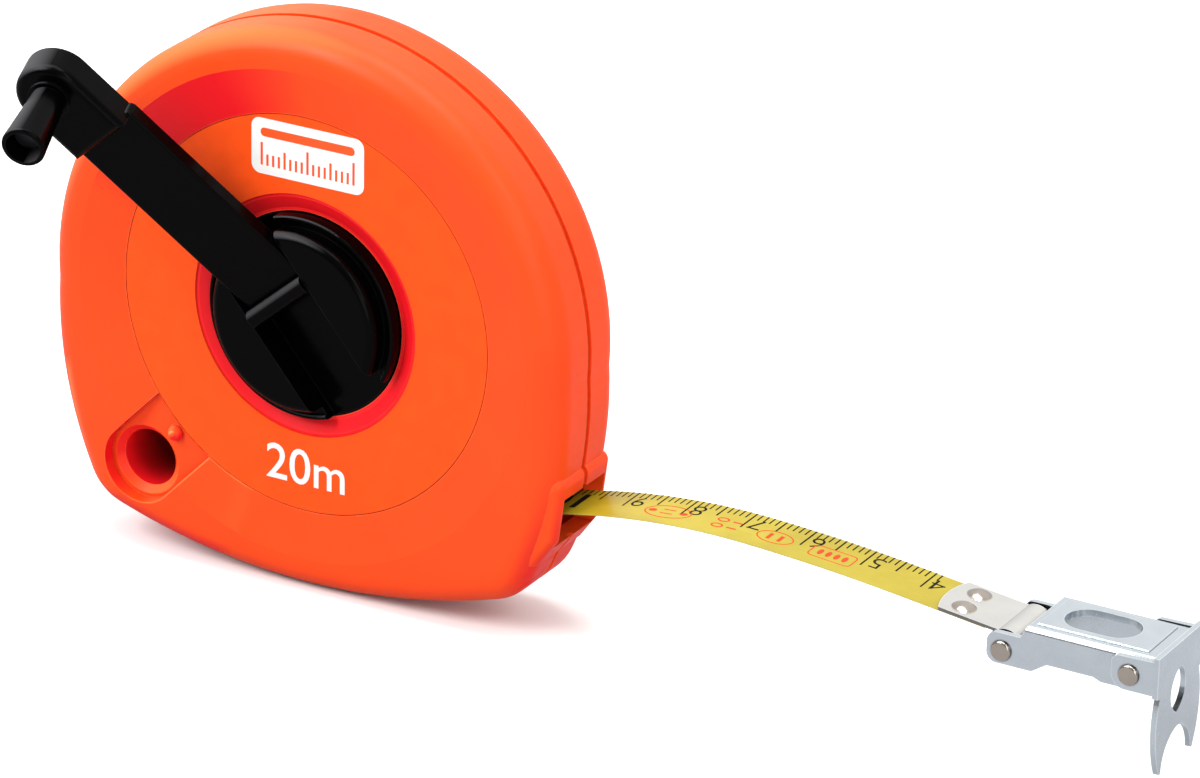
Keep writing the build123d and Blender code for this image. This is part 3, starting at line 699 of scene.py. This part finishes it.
def blade_section():
    """The blade's cross-section, as y and height above its upper face."""
    near, far, soft, full = BLADE_NEAR, BLADE_FAR, BLADE_SOFT, 2 * BLADE_HALF
    return (
        (near, -soft), (near + soft, 0.0), (far - soft, 0.0), (far, -soft),
        (far, soft - full), (far - soft, -full), (near + soft, -full), (near, soft - full),
    )


def blade_band():
    """The free blade, with broken edges, in place of the CAD strip."""
    bm = bmesh.new()
    length = blade_end() - TAIL
    rings = []
    for i in range(BLADE_STEPS + 1):
        s = TAIL + length * i / BLADE_STEPS
        rings.append([bm.verts.new(on_blade(s, y, lift)) for y, lift in blade_section()])
    for here, there in zip(rings, rings[1:]):
        join_loops(bm, here, there)
    bm.faces.new(rings[0])
    bm.faces.new(rings[-1][::-1])
    band_piece = piece("blade_band", bm, FINISH["yellow_blade"], "blade")
    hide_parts("blade_run")


# ------------------------------------------------------------------ blade print

TICK_WIDTH = 0.24
BOLD = 1.15                       # every fifth tick is this much wider
TICK_LONG, TICK_MIDDLE, TICK_SHORT = 5.5, 3.7, 2.1
READINGS = range(39, 109)         # millimetres that have a tick
FIGURES = range(4, 10)            # centimetres
FIGURE_SIZE = 3.6
FIGURE_INSET = 3.6
FIGURE_WEIGHT = -0.012
FIGURE_SHIFT = 1.8                # figures stand this far past their tick, towards the claw
TEN_SIZE = 5.4
TEN_WEIGHT = 0.03
TEN_INSET = 4.9
TEN_SHIFT = 0.4


def tick_shape(reading):
    """Length and width of the tick at a reading in millimetres."""
    if reading % 10 == 0:
        return TICK_LONG, TICK_WIDTH * BOLD
    if reading % 5 == 0:
        return TICK_MIDDLE, TICK_WIDTH * BOLD
    return TICK_SHORT, TICK_WIDTH


def blade_figure(bm, text, s, inset, size, weight):
    """Figures at s, their middle inset from the far edge, upright from the far side."""
    def spot(u, v, lift):
        return on_blade(s - u, BLADE_FAR - inset - v, lift)
    lettering(bm, text, size, weight, spot)


def blade_scale():
    """Millimetre ticks from the far edge, and centimetre figures read from the far side."""
    bm = bmesh.new()
    for reading in READINGS:
        s = ZERO - reading
        length, width = tick_shape(reading)
        half = width / 2
        slab(bm, rectangle(s - half, s + half, BLADE_FAR - length, BLADE_FAR), on_blade)
    for figure in FIGURES:
        s = ZERO - 10 * figure + FIGURE_SHIFT
        blade_figure(bm, str(figure), s, FIGURE_INSET, FIGURE_SIZE, FIGURE_WEIGHT)
    blade_figure(bm, "10", ZERO - 100 + TEN_SHIFT, TEN_INSET, TEN_SIZE, TEN_WEIGHT)
    piece("blade_scale", bm, BLACK_PRINT, "blade")


MARKS_Y = BLADE_FAR - 5.6         # middle line of the red marks
LINE = 0.22
WIDE_LINE = 0.3


def ring(bm, s, y, half_s, half_y, line=LINE):
    """An oval drawn as a line on the blade."""
    inner = oval(s, y, half_s - line, half_y - line)
    band(bm, oval(s, y, half_s, half_y), inner, on_blade)


def dot(bm, s, y, half_s, half_y):
    slab(bm, oval(s, y, half_s, half_y), on_blade)


def bar(bm, s, y, half_s, half_y):
    slab(bm, rectangle(s - half_s, s + half_s, y - half_y, y + half_y), on_blade)


def barred_oval(bm, s):
    """An oval with two bars lengthwise between two dots."""
    ring(bm, s, MARKS_Y, 3.9, 2.3)
    for side in (-1, 1):
        dot(bm, s + side * 2.6, MARKS_Y, 0.7, 0.5)
        bar(bm, s, MARKS_Y + side * 0.7, 1.0, 0.14)


def ringed_bars(bm, s):
    """Two rows of a small ring and a bar."""
    for row in (-1, 1):
        y = MARKS_Y + row * 1.1
        ring(bm, s, y, 1.0, 0.75, WIDE_LINE)
        bar(bm, s + 2.4, y, 0.8, 0.2)


def paired_oval(bm, s):
    """An oval with two bars across it."""
    ring(bm, s, MARKS_Y, 3.0, 2.0)
    for side in (-1, 1):
        bar(bm, s + side * 0.9, MARKS_Y, 0.3, 1.0)


def dotted_box(bm, s):
    """A box with round corners and four upright dots."""
    half_s, half_y, radius = 3.6, 1.9, 0.9
    outer = rounded(s - half_s, s + half_s, MARKS_Y - half_y, MARKS_Y + half_y, radius)
    half_s, half_y, radius = half_s - LINE, half_y - LINE, radius - LINE
    inner = rounded(s - half_s, s + half_s, MARKS_Y - half_y, MARKS_Y + half_y, radius)
    band(bm, outer, inner, on_blade)
    for step in range(4):
        dot(bm, s - 2.0 + 1.35 * step, MARKS_Y, 0.42, 0.95)


def blade_marks():
    """Plain red class marks: ovals, bars, dots and a box, with no lettering."""
    bm = bmesh.new()
    barred_oval(bm, 12.9)
    ringed_bars(bm, 21.7)
    paired_oval(bm, 30.9)
    dotted_box(bm, 40.5)
    piece("blade_marks", bm, RED_PRINT, "blade")


# ------------------------------------------------------------------ label print

LABEL_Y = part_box("front_label")[0][1] / MM
REAR_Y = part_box("rear_label")[1][1] / MM
BADGE = (-9.3, 10.35, 21.5, 30.4)     # left, right, bottom and top
BADGE_CORNER = 1.5
RULER_TICKS = 17
RULER_MARGIN = 1.8                # from the badge's sides to the outer ticks
RULER_FOOT = 1.4
RULER_HALF = 0.2                  # half of a tick's width
RULER_LONG, RULER_MIDDLE, RULER_SHORT = 3.6, 2.7, 1.8
BAR_MARGIN = 1.6
BAR_DROP = (2.9, 1.5)             # bottom and top of the bar, below the badge's top
BAR_CORNER = 0.69
LENGTH_SIZE = 6.0
LENGTH_WEIGHT = 0.008
LENGTH_PLACE = (0.4, -24.7)       # x and z of the figures' middle


def on_label(x, z, lift):
    return Vector((x, LABEL_Y - lift, z)) * MM


def on_rear_label(x, z, lift):
    return Vector((-x, REAR_Y + lift, z)) * MM


def label_badge():
    """A plain white plate."""
    bm = bmesh.new()
    slab(bm, rounded(*BADGE, BADGE_CORNER), on_label)
    piece("label_badge", bm, WHITE_PRINT, "case")


def label_ruler():
    """A small ruler scale under a bar, printed on the plate."""
    left, right, bottom, top = BADGE
    bm = bmesh.new()
    foot = bottom + RULER_FOOT
    span = right - left - 2 * RULER_MARGIN
    for i in range(RULER_TICKS):
        x = left + RULER_MARGIN + span * i / (RULER_TICKS - 1)
        tall = RULER_LONG if i % 8 == 0 else RULER_MIDDLE if i % 4 == 0 else RULER_SHORT
        slab(bm, rectangle(x - RULER_HALF, x + RULER_HALF, foot, foot + tall), on_label, INK)
    low, high = (top - drop for drop in BAR_DROP)
    slab(bm, rounded(left + BAR_MARGIN, right - BAR_MARGIN, low, high, BAR_CORNER), on_label, INK)
    piece("label_ruler", bm, ORANGE_PRINT, "case")


def label_length(name, place):
    """The blade's length, as plain figures, on one label."""
    def spot(u, v, lift):
        return place(u + LENGTH_PLACE[0], v + LENGTH_PLACE[1], lift)
    bm = bmesh.new()
    lettering(bm, "20m", LENGTH_SIZE, LENGTH_WEIGHT, spot)
    piece(name, bm, WHITE_PRINT, "case")


# ------------------------------------------------------------------ build

camera()
studio()
dress_nodes()
blade_band()
blade_scale()
blade_marks()
label_badge()
label_ruler()
label_length("front_length", on_label)
label_length("rear_length", on_rear_label)
